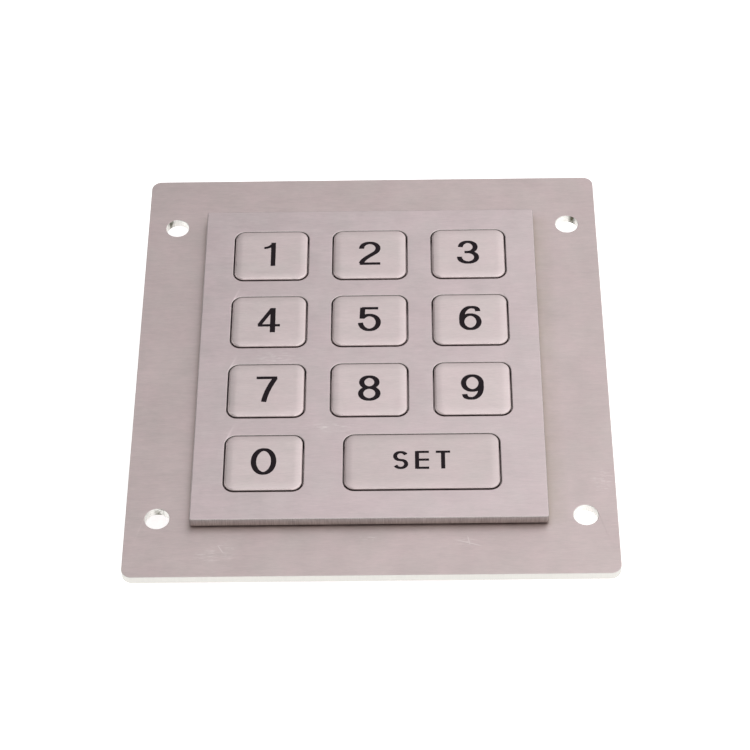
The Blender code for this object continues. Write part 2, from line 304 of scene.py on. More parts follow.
# ---- material helpers ----
class NodeTree:
    """Short calls for the nodes that the surfaces and the studio walls use."""

    def __init__(self, tree, coordinates):
        self.nodes = tree.nodes
        self.links = tree.links
        self.place = self.nodes.new("ShaderNodeTexCoord").outputs[coordinates]

    def link(self, output, node, socket):
        self.links.new(output, node.inputs[socket])

    def axes(self):
        separate = self.nodes.new("ShaderNodeSeparateXYZ")
        self.link(self.place, separate, "Vector")
        return separate.outputs

    def stretched(self, scale):
        mapping = self.nodes.new("ShaderNodeMapping")
        mapping.inputs["Scale"].default_value = scale
        self.link(self.place, mapping, "Vector")
        return mapping.outputs["Vector"]

    def noise(self, scale, detail=3.0, roughness=0.55, vector=None):
        node = self.nodes.new("ShaderNodeTexNoise")
        node.inputs["Scale"].default_value = scale
        node.inputs["Detail"].default_value = detail
        node.inputs["Roughness"].default_value = roughness
        self.link(vector or self.place, node, "Vector")
        return node.outputs["Fac"]

    def remap(self, value, from_low, from_high, to_low, to_high, shape="LINEAR"):
        node = self.nodes.new("ShaderNodeMapRange")
        node.interpolation_type = shape
        numbers = (from_low, from_high, to_low, to_high)
        for socket, number in zip(("From Min", "From Max", "To Min", "To Max"), numbers):
            node.inputs[socket].default_value = number
        self.link(value, node, "Value")
        return node.outputs["Result"]

    def feed(self, socket, value):
        """Link a socket to an output, or set a number or a colour on it."""
        if isinstance(value, bpy.types.NodeSocket):
            self.links.new(value, socket)
        elif isinstance(value, tuple):
            socket.default_value = (*value, 1.0)
        else:
            socket.default_value = value

    def math(self, operation, first, second):
        node = self.nodes.new("ShaderNodeMath")
        node.operation = operation
        self.feed(node.inputs[0], first)
        self.feed(node.inputs[1], second)
        return node.outputs["Value"]

    def plus(self, first, second):
        return self.math("ADD", first, second)

    def minus(self, first, second):
        return self.math("SUBTRACT", first, second)

    def times(self, first, second):
        return self.math("MULTIPLY", first, second)

    def larger(self, first, second):
        return self.math("MAXIMUM", first, second)

    def magnitude(self, value):
        return self.math("ABSOLUTE", value, 0.0)

    def mix(self, factor, low, high, blend="MIX"):
        node = self.nodes.new("ShaderNodeMix")
        node.data_type = "RGBA"
        node.blend_type = blend
        self.link(factor, node, "Factor")
        self.feed(node.inputs[6], low)
        self.feed(node.inputs[7], high)
        return node.outputs[2]

    def stain(self, mask, tint, colour):
        """Multiply a colour by a tint where the mask is one."""
        return self.mix(mask, colour, tint, "MULTIPLY")


class Shader(NodeTree):
    """A Principled material."""

    def __init__(self, name, colour, roughness, metallic=0.0, **constants):
        self.material = bpy.data.materials.new(name)
        self.material.use_nodes = True
        super().__init__(self.material.node_tree, "Object")
        self.principled = self.nodes["Principled BSDF"]
        values = {"Base Color": colour, "Roughness": roughness, "Metallic": metallic}
        for socket, value in (values | constants).items():
            self.feed(self.principled.inputs[socket.replace("_", " ")], value)
        self.material.diffuse_color = (*colour, 1.0)

    def set(self, socket, output):
        self.link(output, self.principled, socket)

    def bump(self, height, distance):
        node = self.nodes.new("ShaderNodeBump")
        node.inputs["Strength"].default_value = 1.0
        node.inputs["Distance"].default_value = distance
        self.link(height, node, "Height")
        self.set("Normal", node.outputs["Normal"])

    def tangent(self, direction):
        node = self.nodes.new("ShaderNodeCombineXYZ")
        for index, value in enumerate(direction):
            node.inputs[index].default_value = value
        self.set("Tangent", node.outputs["Vector"])


def scuff_mask(shader, spots, threshold=0.50):
    """Faint streaky rub marks: soft ovals broken up by noise."""
    place = shader.axes()
    total = None
    for spot in spots:
        x, y, half_x, half_y = (value * MM for value in spot)
        across = shader.math("DIVIDE", shader.minus(place["X"], x), half_x)
        along = shader.math("DIVIDE", shader.minus(place["Y"], y), half_y)
        reach = shader.plus(shader.times(across, across), shader.times(along, along))
        oval = shader.remap(reach, 0.0, 1.0, 1.0, 0.0)
        total = oval if total is None else shader.larger(total, oval)
    streaks = shader.noise(1.0, 4.0, 0.65, shader.stretched(SCUFF_STREAKS))
    broken = shader.remap(streaks, threshold, threshold + SCUFF_SOFTNESS, 0.0, 1.0)
    return shader.times(total, broken)


def scratch_mask(shader, scratches):
    """Fine straight scratches that fade out at both ends."""
    place = shader.axes()
    total = None
    for scratch in scratches:
        x0, y0, x1, y1 = (value * MM for value in scratch)
        length = math.hypot(x1 - x0, y1 - y0)
        along_x, along_y = (x1 - x0) / length, (y1 - y0) / length
        from_x = shader.minus(place["X"], (x0 + x1) / 2)
        from_y = shader.minus(place["Y"], (y0 + y1) / 2)
        run = shader.plus(shader.times(from_x, along_x), shader.times(from_y, along_y))
        off = shader.minus(shader.times(from_x, along_y), shader.times(from_y, along_x))
        near_line = shader.remap(shader.magnitude(off), 0.0, SCRATCH_WIDTH, 1.0, 0.0)
        within = shader.remap(shader.magnitude(run), 0.25 * length, length / 2, 1.0, 0.0)
        line = shader.times(near_line, within)
        total = line if total is None else shader.larger(total, line)
    return total


def painted_seam_shade_masks(shader, node):
    """Painted shade round the foot of a raised plate: a painted contact shadow close in all round,
    and a wider painted shadow on its right.
    """
    place = shader.axes()
    middle = box_middle(node)
    half = box_size(node) / 2
    outside_x = shader.minus(shader.magnitude(shader.minus(place["X"], middle.x)), half.x)
    outside_y = shader.minus(shader.magnitude(shader.minus(place["Y"], middle.y)), half.y)
    near_shade = shader.remap(shader.larger(outside_x, outside_y), 0.0, SEAM_REACH, 1.0, 0.0)
    near_shade = shader.times(near_shade, near_shade)
    from_right = shader.minus(place["X"], middle.x + half.x)
    wide_shade = shader.remap(from_right, SEAM_FADE, SEAM_RIGHT_REACH, 1.0, 0.0)
    past_edge = shader.remap(from_right, -SEAM_FADE, 0.0, 0.0, 1.0)
    beside = shader.remap(outside_y, -3 * SEAM_FADE, SEAM_FADE, 1.0, 0.0)
    patchy = shader.remap(shader.noise(260.0, 3.0, 0.6), 0.3, 0.6, 0.45, 1.0)
    wide_shade = shader.times(shader.times(wide_shade, past_edge), shader.times(beside, patchy))
    return near_shade, wide_shade


def shades(colour, darker, lighter):
    """A darker and a lighter version of a colour."""
    dark = tuple(darker * channel for channel in colour)
    light = tuple(min(1.0, lighter * channel) for channel in colour)
    return dark, light


def brushed_steel(name, colour, roughness, cloud, scuffs=(), scratches=(), seam=None):
    """Satin steel ground along X: fine streaks, slow cloudy tone, a few rub marks, and optional
    painted shade round a raised plate's foot.
    """
    shader = Shader(name, colour, roughness, 1.0, Anisotropic=0.30)
    fine = shader.noise(1.0, 4.0, 0.65, shader.stretched(FINE_GRAIN))
    broad = shader.noise(1.0, 3.0, 0.6, shader.stretched(BROAD_GRAIN))
    clouds = shader.noise(CLOUD_SCALE, 5.0, 0.62)
    warmth = shader.noise(WARMTH_SCALE, 3.0, 0.6)

    grain = shader.plus(shader.times(fine, 0.6), shader.times(broad, 0.4))
    streaks = shader.remap(grain, 0.35, 0.65, -GRAIN_CONTRAST, GRAIN_CONTRAST)
    tone = shader.plus(streaks, shader.remap(clouds, 0.3, 0.7, -cloud, cloud))
    dark, light = shades(colour, 1.0 - TONE_SPAN, 1.0 + TONE_SPAN)
    toned = shader.mix(shader.plus(shader.times(tone, 0.5 / TONE_SPAN), 0.5), dark, light)
    finish = shader.stain(shader.remap(warmth, 0.35, 0.7, 0.0, 1.0), COOL_TINT, toned)
    rough = shader.remap(grain, 0.3, 0.7, roughness - 0.05, roughness + 0.06)
    if scuffs:
        mask = scuff_mask(shader, scuffs)
        if scratches:
            mask = shader.larger(mask, scratch_mask(shader, scratches))
        finish = shader.mix(shader.times(mask, SCUFF_STRENGTH), finish, SCUFF_COLOUR)
        rough = shader.plus(rough, shader.times(mask, SCUFF_ROUGHNESS))
    # Painted shade: darker close round the raised plate's foot, and a wider painted shadow beside
    # its right side.
    if seam:
        near_shade, wide_shade = painted_seam_shade_masks(shader, seam)
        finish = shader.stain(near_shade, SEAM_SHADE_TINT, finish)
        finish = shader.stain(wide_shade, SEAM_RIGHT_SHADE_TINT, finish)
    shader.set("Base Color", finish)
    shader.set("Roughness", rough)
    shader.bump(grain, GRAIN_DEPTH)
    shader.tangent((1.0, 0.0, 0.0))
    return shader.material


def cut_edge(name, colour, roughness, contrast, foot_shade_node=None, burrs=()):
    """Sheared or laser-cut edge: upright striations, with optional painted shade towards its foot
    and optional burrs.
    """
    shader = Shader(name, colour, roughness, 1.0)
    lines = shader.noise(1.0, 3.0, 0.7, shader.stretched(CUT_LINES))
    patches = shader.noise(420.0, 2.0, 0.5)
    streak = shader.plus(shader.times(lines, 0.75), shader.times(patches, 0.25))
    dark, light = shades(colour, 1.0 - contrast, 1.0 + 0.6 * contrast)
    finish = shader.mix(shader.remap(streak, 0.38, 0.62, 0.0, 1.0), dark, light)
    # Painted shade: the wall darkens towards its foot, where it meets the panel, below a wavy line.
    if foot_shade_node:
        low, high = levels_of(foot_shade_node)
        wave = shader.times(shader.minus(streak, 0.5), FOOT_SHADE_WAVE)
        height = shader.plus(shader.axes()["Z"], wave)
        waist = (low + high) / 2
        foot_shade = shader.remap(height, low + 0.2 * MM, waist + 0.5 * MM, 1.0, 0.0)
        finish = shader.stain(foot_shade, FOOT_SHADE_TINT, finish)
    if burrs:
        finish = shader.stain(scuff_mask(shader, burrs, BURR_THRESHOLD), BURR_TINT, finish)
    shader.set("Base Color", finish)
    shader.set("Roughness", shader.remap(streak, 0.3, 0.7, roughness - 0.08, roughness + 0.10))
    shader.bump(lines, CUT_DEPTH)
    return shader.material


def plain_surface(name, colour, roughness, metallic=0.0, grain=900.0, depth=0.006, **constants):
    """Moulded, plated or painted surface with a fine grain in tone, gloss and height."""
    shader = Shader(name, colour, roughness, metallic, **constants)
    speckle = shader.noise(grain, 4.0, 0.6)
    clouds = shader.noise(grain / 12, 2.0, 0.5)
    dark, light = shades(colour, 0.86, 1.12)
    shader.set("Base Color", shader.mix(shader.remap(clouds, 0.3, 0.7, 0.0, 1.0), dark, light))
    shader.set("Roughness", shader.remap(speckle, 0.3, 0.7, roughness - 0.06, roughness + 0.08))
    shader.bump(speckle, depth * MM)
    return shader.material


# How finely the noise behind each finish repeats, per metre along X, Y and Z.
FINE_GRAIN = (620.0, 4600.0, 4600.0)
BROAD_GRAIN = (180.0, 900.0, 900.0)
SCUFF_STREAKS = (450.0, 2600.0, 450.0)
CUT_LINES = (4200.0, 4200.0, 260.0)
CLOUD_SCALE = 120.0
WARMTH_SCALE = 140.0
GRAIN_CONTRAST = 0.07
GRAIN_DEPTH = 0.004 * MM
CUT_DEPTH = 0.02 * MM
TONE_SPAN = 0.10                    # the tone runs this far either side of the base colour
COOL_TINT = (0.965, 1.0, 0.985)
SCUFF_SOFTNESS = 0.18
SCUFF_STRENGTH = 0.70
SCUFF_ROUGHNESS = 0.12
SCUFF_COLOUR = (0.86, 0.80, 0.79)
# Painted shade round the raised key plate's foot: a painted contact shadow all round and a wider
# painted shadow on its right.
SEAM_FADE = 0.5 * MM
SEAM_REACH = 1.5 * MM
SEAM_SHADE_TINT = (0.86, 0.85, 0.82)
SEAM_RIGHT_REACH = 4.6 * MM
SEAM_RIGHT_SHADE_TINT = (0.89, 0.90, 0.85)
# Painted shade on a raised plate's cut wall, darkest at its foot.
FOOT_SHADE_WAVE = 1.2 * MM
FOOT_SHADE_TINT = (0.82, 0.76, 0.72)
BURR_TINT = (0.10, 0.10, 0.06)
BURR_THRESHOLD = 0.36
SCRATCH_WIDTH = 0.17 * MM
# Where the marks are, in millimetres: a scuff or burr is (x, y, half length, half width), and a
# scratch runs from (x0, y0) to (x1, y1).
PANEL_SCUFFS = (
    (-31.5, -49.8, 5.0, 1.9),
    (-29.5, -47.8, 3.0, 1.2),
    (-0.4, -45.8, 2.0, 1.0),
    (19.1, -46.9, 3.0, 1.3),
    (47.2, -31.5, 2.6, 4.0),
)
PANEL_SCRATCHES = (
    (16.4, -46.2, 22.6, -48.1),
    (19.4, -45.3, 19.9, -47.9),
    (-31.0, -47.0, -29.6, -49.4),
)
HOLE_BURRS = (
    (-43.1, -38.1, 1.3, 0.6),
    (-45.0, 42.2, 0.9, 1.0),
    (44.8, 42.5, 1.0, 0.9),
)
PLATE_SCUFFS = (
    (-20.0, 0.0, 6.0, 2.0),
    (-8.0, -19.0, 7.0, 1.6),
)


def make_materials():
    # The panel's rub marks and scratches, and the key plate whose foot gets painted shade on the
    # panel.
    panel_marks_and_shade = (PANEL_SCUFFS, PANEL_SCRATCHES, "key_plate")
    return {
        "panel": brushed_steel("panel_steel", (0.622, 0.521, 0.521), 0.48, 0.045, *panel_marks_and_shade),
        "plate": brushed_steel("key_plate_steel", (0.641, 0.541, 0.553), 0.42, 0.045, PLATE_SCUFFS),
        "key": brushed_steel("key_steel", (0.699, 0.596, 0.599), 0.40, 0.030),
        "wide_key": brushed_steel("wide_key_steel", (0.640, 0.545, 0.547), 0.40, 0.030),
        "panel_edge": cut_edge("panel_cut_edge", (0.63, 0.62, 0.59), 0.42, 0.05),
        # Painted reflection: a lighter copy of the cut-edge steel for the mount holes' walls,
        # standing in for the floor's light they catch. The burrs on it are real.
        "hole_wall": cut_edge("hole_wall", (0.80, 0.80, 0.77), 0.30, 0.04, None, HOLE_BURRS),
        # The raised plate's cut wall, with painted shade towards its foot.
        "plate_edge": cut_edge("plate_cut_edge", (0.50, 0.475, 0.462), 0.38, 0.22, "key_plate"),
        "ink": plain_surface(
            "legend_fill", (0.010, 0.005, 0.008), 0.55, 0.0, 2500.0, 0.004, Specular_IOR_Level=0.15
        ),
        "silicone": plain_surface("silicone_rubber", (0.045, 0.045, 0.048), 0.72),
        "carbon": plain_surface("carbon_pill_face", (0.012, 0.012, 0.012), 0.62),
        "board": plain_surface("green_solder_mask", (0.012, 0.085, 0.035), 0.34),
        "laminate": plain_surface("laminate_edge", (0.30, 0.27, 0.14), 0.62),
        "gold": plain_surface("gold_plate", (0.85, 0.62, 0.26), 0.24, 1.0),
        "chip": plain_surface("moulded_epoxy", (0.018, 0.018, 0.019), 0.55),
        "can": plain_surface("drawn_can", (0.62, 0.62, 0.62), 0.28, 1.0),
        "nylon": plain_surface("natural_nylon", (0.76, 0.73, 0.66), 0.48),
        "tin": plain_surface("tinned_brass", (0.70, 0.68, 0.63), 0.25, 1.0),
        "zinc": plain_surface("zinc_plate", (0.66, 0.66, 0.68), 0.26, 1.0, 600.0),
        "stud": plain_surface("stud_thread", (0.58, 0.56, 0.54), 0.34, 1.0),
        "cover": brushed_steel("pressed_cover_steel", (0.60, 0.585, 0.58), 0.40, 0.030),
    }


# ---- front pieces ----
def key_window(node):
    """Outline of the opening that a key comes through."""
    size = box_size(node)
    reach = 2 * (KEY_GAP - KEY_SKIRT)
    opening = (size.x + reach, size.y + reach)
    return rounded_rectangle(opening, KEY_CORNER + KEY_GAP, centre_of(node))


def make_panel(looks):
    keys_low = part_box("key_0")[0]
    keys_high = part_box("key_3")[1]
    middle = centre_of("key_plate")
    window = [
        2 * (max(keys_high[axis] - middle[axis], middle[axis] - keys_low[axis]) + WINDOW_CLEARANCE)
        for axis in (0, 1)
    ]
    holes = [rounded_rectangle(window, KEY_CORNER, middle)]
    for side in (-1, 1):
        for level in (-1, 1):
            centre = (side * MOUNT_HOLE_PITCH[0] / 2, level * MOUNT_HOLE_PITCH[1] / 2)
            holes.append(circle(MOUNT_HOLE_RADIUS, centre, 64))
    holes += stud_holes()
    panel = sheet("panel_sheet", "flange_plate", PANEL_CORNER, holes, PANEL_EDGE)
    paint_walls(panel, looks["panel"], looks["panel_edge"])
    # Walls round the mount holes take the lighter hole-wall steel, a painted reflection.
    panel.data.materials.append(looks["hole_wall"])
    for polygon in panel.data.polygons:
        reach_x = abs(abs(polygon.center.x) - MOUNT_HOLE_PITCH[0] / 2)
        reach_y = abs(abs(polygon.center.y) - MOUNT_HOLE_PITCH[1] / 2)
        if polygon.material_index == 1 and math.hypot(reach_x, reach_y) < HOLE_WALL_REACH:
            polygon.material_index = 2
    finish_piece(panel, None, "root", "panel_steel", "flange_plate")


def make_key_plate(looks):
    windows = [key_window(f"key_{legend}") for legend in LEGENDS]
    raised = sheet("raised_plate", "key_plate", PLATE_CORNER, windows, PLATE_EDGE, 4)
    paint_walls(raised, looks["plate"], looks["plate_edge"])
    finish_piece(raised, None, "root", "key_plate_steel", "key_plate")


def key_rings(node):
    """Rings of one key from the underside of its skirt to the rim of its flat top."""
    low, high = levels_of(node)
    centre = centre_of(node)
    skirt = box_size(node)
    cap = (skirt.x - 2 * KEY_SKIRT, skirt.y - 2 * KEY_SKIRT)
    top = high - LEGEND_RISE
    shoulder = low + KEY_SKIRT_THICKNESS

    def ring(inset, height, base=cap, corner=KEY_CORNER):
        size = (base[0] - 2 * inset, base[1] - 2 * inset)
        outline = rounded_rectangle(size, corner - inset, centre, 12)
        return [(x, y, height) for x, y in outline]

    outer = (skirt, KEY_CORNER + KEY_SKIRT)
    rings = [
        ring(SKIRT_FOOT_EDGE, low, *outer),
        ring(0.0, low + SKIRT_FOOT_EDGE, *outer),
        ring(0.0, shoulder - SKIRT_EDGE, *outer),
        ring(SKIRT_EDGE, shoulder, *outer),
        ring(0.0, shoulder + 0.02 * MM),
        ring(0.0, top - KEY_PILLOW_DROP - KEY_EDGE_ROUND),
    ]
    steps = 8
    for step in range(1, steps + 1):
        turn = math.pi / 2 * step / steps
        inset = KEY_EDGE_ROUND * (1.0 - math.cos(turn))
        drop = KEY_PILLOW_DROP + KEY_EDGE_ROUND * (1.0 - math.sin(turn))
        rings.append(ring(inset, top - drop))
    for step in range(1, steps + 1):
        reach = step / steps
        drop = KEY_PILLOW_DROP * (1.0 - reach) ** 2
        rings.append(ring(KEY_EDGE_ROUND + KEY_PILLOW_WIDTH * reach, top - drop))
    return rings


def make_keys(looks):
    for legend in LEGENDS:
        cap = loft(f"cap_{legend}", key_rings(f"key_{legend}"))
        steel = looks["wide_key" if legend == "set" else "key"]
        finish_piece(cap, steel, f"key_{legend}_body", "key_steel", f"key_{legend}")


# ---- legends ----
DIGIT_HEIGHT = 6.9 * MM
DIGIT_THICK = 1.12 * MM
DIGIT_THIN = 0.68 * MM
WORD_HEIGHT = 4.6 * MM
WORD_THICK = 0.84 * MM
WORD_THIN = 0.55 * MM
WORD_ADVANCE = 4.35 * MM
LEGEND_SHIFT_Y = 0.12 * MM
# How bold each stroke of a digit is, where it isn't full width.
STROKE_WEIGHTS = {"1": (0.92, 0.80), "4": (1.0, 0.82, 0.95)}
SAME_POINT = 1e-6                   # a closed stroke's ends are closer than this


def bezier(start, start_handle, end_handle, end, steps=18):
    points = []
    for step in range(steps + 1):
        t = step / steps
        weights = ((1 - t) ** 3, 3 * t * (1 - t) ** 2, 3 * t * t * (1 - t), t**3)
        controls = (start, start_handle, end_handle, end)
        points.append(tuple(sum(w * c[axis] for w, c in zip(weights, controls)) for axis in (0, 1)))
    return points


# Each glyph is drawn on a box one unit tall and about 0.7 wide, centred on zero, as pen
# strokes. A closed stroke ends where it starts. The pen is broad on upright strokes and thin on
# level ones.
def glyph_strokes(glyph):
    half = 0.5 - 0.052
    side = 0.262
    if glyph == "0":
        return [arc((0, 0), (0.300, half), 90, 450, 56)]
    if glyph == "1":
        return [
            [(0.06, 0.5), (0.06, -0.5)],
            bezier((0.06, 0.46), (0.02, 0.36), (-0.10, 0.285), (-0.235, 0.275)),
        ]
    if glyph == "2":
        bowl = arc((0.0, 0.215), (side, 0.233), 184, -22)
        sweep = bezier(bowl[-1], (0.20, -0.03), (-0.19, -0.16), (-0.275, -0.44))
        return [bowl + sweep[1:], [(-0.32, -half), (0.335, -half)]]
    if glyph == "3":
        upper = arc((-0.01, 0.225), (0.235, 0.222), 180, -90)
        lower = arc((-0.01, -0.22), (side + 0.01, 0.227), 90, -186)
        return [upper, lower, [(-0.12, 0.004), (0.0, 0.004)]]
    if glyph == "4":
        return [
            [(0.12, 0.5), (0.12, -0.5)],
            [(0.09, 0.46), (-0.30, -0.20)],
            [(-0.34, -0.215), (0.35, -0.215)],
        ]
    if glyph == "5":
        bowl = arc((-0.005, -0.14), (side + 0.015, 0.307), 132, -178)
        return [bowl, [(-0.215, 0.47), (-0.232, 0.02)], [(-0.24, half), (0.27, half)]]
    if glyph in ("6", "9"):
        bowl = arc((0.0, -0.155), (side + 0.005, 0.293), 90, 450, 48)
        back = bezier((-side, -0.12), (-0.30, 0.24), (-0.14, half), (0.03, half))
        tip = bezier((0.03, half), (0.14, half), (0.235, 0.42), (0.240, 0.28))
        strokes = [bowl, back + tip[1:]]
        if glyph == "6":
            return strokes
        return [[(-x, -y) for x, y in points] for points in strokes]
    if glyph == "7":
        return [
            [(-0.31, half), (0.325, half)],
            bezier((0.27, 0.44), (0.08, 0.10), (-0.02, -0.20), (-0.07, -0.5)),
        ]
    if glyph == "8":
        return [
            arc((0.0, 0.232), (0.232, 0.215), 90, 450, 44),
            arc((0.0, -0.214), (side, 0.234), 90, 450, 44),
        ]
    if glyph == "S":
        upper = arc((0.0, 0.222), (0.245, 0.222), 22, 250)
        lower = arc((0.0, -0.222), (0.245, 0.222), 70, -158)
        return [upper + lower]
    if glyph == "E":
        bars = [[(-0.22, level), (0.32, level)] for level in (half, 0.01, -half)]
        return [[(-0.215, 0.5), (-0.215, -0.5)]] + bars
    return [[(-0.32, half), (0.32, half)], [(0.0, 0.47), (0.0, -0.5)]]


def pen_edges(points, closed, height, thick, thin):
    """Pairs of points on a stroke's left and right, whose width follows its direction."""
    points = [Vector(point) * height for point in points]
    count = len(points)
    edges = []
    for index, point in enumerate(points):
        before = points[(index - 1) % count] if closed or index else point
        after = points[(index + 1) % count] if closed or index < count - 1 else point
        direction = (after - before).normalized()
        half = (thin + (thick - thin) * abs(direction.y) ** 1.2) / 2
        across = Vector((-direction.y, direction.x)) * half
        edges.append((point + across, point - across))
    return edges


def stroke_solid(name, points, sizes, origin, top):
    """One stroke as a thin solid, LEGEND_DEPTH deep."""
    bottom = top - LEGEND_DEPTH
    closed = math.dist(points[0], points[-1]) < SAME_POINT
    if closed:
        points = points[:-1]
    rings = []
    for left, right in pen_edges(points, closed, *sizes):
        corners = ((left, bottom), (left, top), (right, top), (right, bottom))
        rings.append([(origin[0] + p.x, origin[1] + p.y, level) for p, level in corners])
    return loft(name, rings, closed)


def combine(name, pieces, operation):
    """The first piece joined with the others, or cut by them, as one closed solid."""
    base = pieces[0]
    for piece in pieces:
        piece.modifiers.clear()
    for tool in pieces[1:]:
        modifier = base.modifiers.new(tool.name, "BOOLEAN")
        modifier.operation = operation
        modifier.solver = "EXACT"
        modifier.object = tool
    mesh = evaluated_mesh(base)
    for piece in pieces:
        bpy.data.objects.remove(piece)
    smooth(mesh, 40.0)
    return link(name, mesh)


def make_glyph(name, glyph, origin, sizes, top):
    height, thick, thin = sizes
    strokes = []
    weights = STROKE_WEIGHTS.get(glyph, ())
    for index, points in enumerate(glyph_strokes(glyph)):
        weight = weights[index] if index < len(weights) else 1.0
        pen = (height, weight * thick, weight * thin)
        strokes.append(stroke_solid(f"{name}_stroke_{index}", points, pen, origin, top))
    return combine(name, strokes, "UNION")


def make_legends(looks):
    for legend in LEGENDS:
        x, y = centre_of(f"key_{legend}")
        y += LEGEND_SHIFT_Y
        top = levels_of(f"key_{legend}")[1]
        glyphs = [(f"legend_{legend}", legend, x, (DIGIT_HEIGHT, DIGIT_THICK, DIGIT_THIN))]
        if legend == "set":
            sizes = (WORD_HEIGHT, WORD_THICK, WORD_THIN)
            glyphs = [
                (f"legend_word_{index + 1}", letter, x + (index - 1) * WORD_ADVANCE, sizes)
                for index, letter in enumerate("SET")
            ]
        for name, letter, middle_x, sizes in glyphs:
            glyph = make_glyph(name, letter, (middle_x, y), sizes, top)
            finish_piece(glyph, looks["ink"], f"key_{legend}_body", "key_steel")


# ---- switch layer ----
DOME_FOOT_WIDTH = 1.1 * MM
DOME_WALL = 0.8 * MM
PILL_EDGE = 0.08 * MM
BOARD_EDGE = 0.06 * MM
MAT_EDGE = 0.12 * MM
SHEET_CORNER = 1.0 * MM
STUD_CLEARANCE = 0.3 * MM
DOME_CLEARANCE = 0.15 * MM
PAD_THICKNESS = 0.04 * MM
PAD_EDGE = 0.01 * MM
PAD_REACH = 2.0 * MM
PAD_FINGER = 0.24 * MM              # half of a finger's width
PAD_PITCH = 0.9 * MM


def stud_holes():
    holes = []
    for node in STUDS:
        holes.append(circle(box_size(node).x / 2 + STUD_CLEARANCE, centre_of(node), 24))
    return holes


def make_mat(looks):
    holes = stud_holes()
    for legend in LEGENDS:
        node = f"dome_{legend}"
        holes.append(circle(box_size(node).x / 2 + DOME_CLEARANCE, centre_of(node), 36))
    mat = sheet("mat_sheet", "silicone_mat", SHEET_CORNER, holes, MAT_EDGE, 6)
    finish_piece(mat, looks["silicone"], "root", "silicone", "silicone_mat")


def make_domes(looks):
    """Hollow domes with a boss for the key. The real domes flatten as their keys go down; these are
    built at rest.
    """
    for legend in LEGENDS:
        node = f"dome_{legend}"
        floor, top = levels_of(node)
        foot = box_size(node).x / 2
        boss = 0.58 * foot
        inner = foot - DOME_FOOT_WIDTH
        roof = top - DOME_WALL
        profile = [
            (0.5 * boss, top, 0),
            (boss, top, 0.25 * MM),
            (boss, top - 0.6 * MM, 0.18 * MM),
            (foot - 0.65 * MM, floor + 0.95 * MM, 0.25 * MM),
            (foot, floor + DOME_WALL, 0.15 * MM),
            (foot, floor, 0.05 * MM),
            (inner, floor, 0.05 * MM),
            (inner, floor + 0.35 * MM, 0.15 * MM),
            (boss - 0.4 * MM, roof, 0.25 * MM),
            (0.4 * boss, roof, 0),
        ]
        dome = turned(f"dome_skin_{legend}", profile, centre_of(node), 36)
        finish_piece(dome, looks["silicone"], "root", "silicone", node)
        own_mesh(dome)


def make_pills(looks):
    for legend in LEGENDS:
        node = f"contact_pill_{legend}"
        low, high = levels_of(node)
        radius = box_size(node).x / 2
        profile = [
            (0.8 * radius, low, 0),
            (radius, low, PILL_EDGE),
            (radius, high, PILL_EDGE),
            (0.8 * radius, high, 0),
        ]
        pill = turned(f"pill_{legend}", profile, centre_of(node), 32)
        finish_piece(pill, looks["carbon"], f"key_{legend}_body", "carbon", node)


def comb(centre, offsets, side):
    """Outline of half a contact: a bus bar with a finger at each offset."""
    base = -side * (PAD_REACH + 2 * PAD_FINGER)
    tip = side * (PAD_REACH - PAD_FINGER)
    points = [(offsets[0] - PAD_FINGER, base)]
    for offset in offsets:
        points.append((offset - PAD_FINGER, -side * PAD_REACH))
        points.append((offset - PAD_FINGER, tip))
        points.append((offset + PAD_FINGER, tip))
        points.append((offset + PAD_FINGER, -side * PAD_REACH))
    points.append((offsets[-1] + PAD_FINGER, base))
    return [(centre.x + x, centre.y + y) for x, y in points]


def make_board(looks):
    board = sheet("board_sheet", "pcb", SHEET_CORNER, stud_holes(), BOARD_EDGE, 6)
    paint_walls(board, looks["board"], looks["laminate"])
    finish_piece(board, None, "root", "solder_mask", "pcb")

    top = levels_of("pcb")[1]
    pads = []
    for legend in LEGENDS:
        centre = box_middle(f"contact_pill_{legend}")
        pads.append(comb(centre, [step * PAD_PITCH for step in (-2, 0, 2)], 1))
        pads.append(comb(centre, [step * PAD_PITCH for step in (-1, 1)], -1))
    contacts = plate("contact_pads", pads, top, top + PAD_THICKNESS, PAD_EDGE)
    finish_piece(contacts, looks["gold"], "root", "tinned_pin")


# ---- soldered parts ----
LEG_COUNT = 11                      # on each of the chip's four sides
LEG_PITCH = 0.75 * MM
LEG_WIDTH = 0.30 * MM
LEG_THICKNESS = 0.13 * MM
LEG_REACH = 0.7 * MM
HEADER_WALL = 0.7 * MM
HEADER_FLOOR = 1.5 * MM
HEADER_SLOT_WIDTH = 1.1 * MM
HEADER_SLOT_DEPTH = 3.2 * MM
HEADER_SLOT_SHARE = 0.26             # a slot's distance from the middle, as a share of the width
PIN_TAPER = 0.6 * MM


def ribbon(shape, path, sideways, width, thickness):
    """Add a flat strip of metal that follows a path in an upright plane."""
    across = sideways * width / 2
    rise = Vector((0.0, 0.0, thickness / 2))
    skin(shape, [[point + x * across + y * rise for x, y in CORNERS] for point in path])


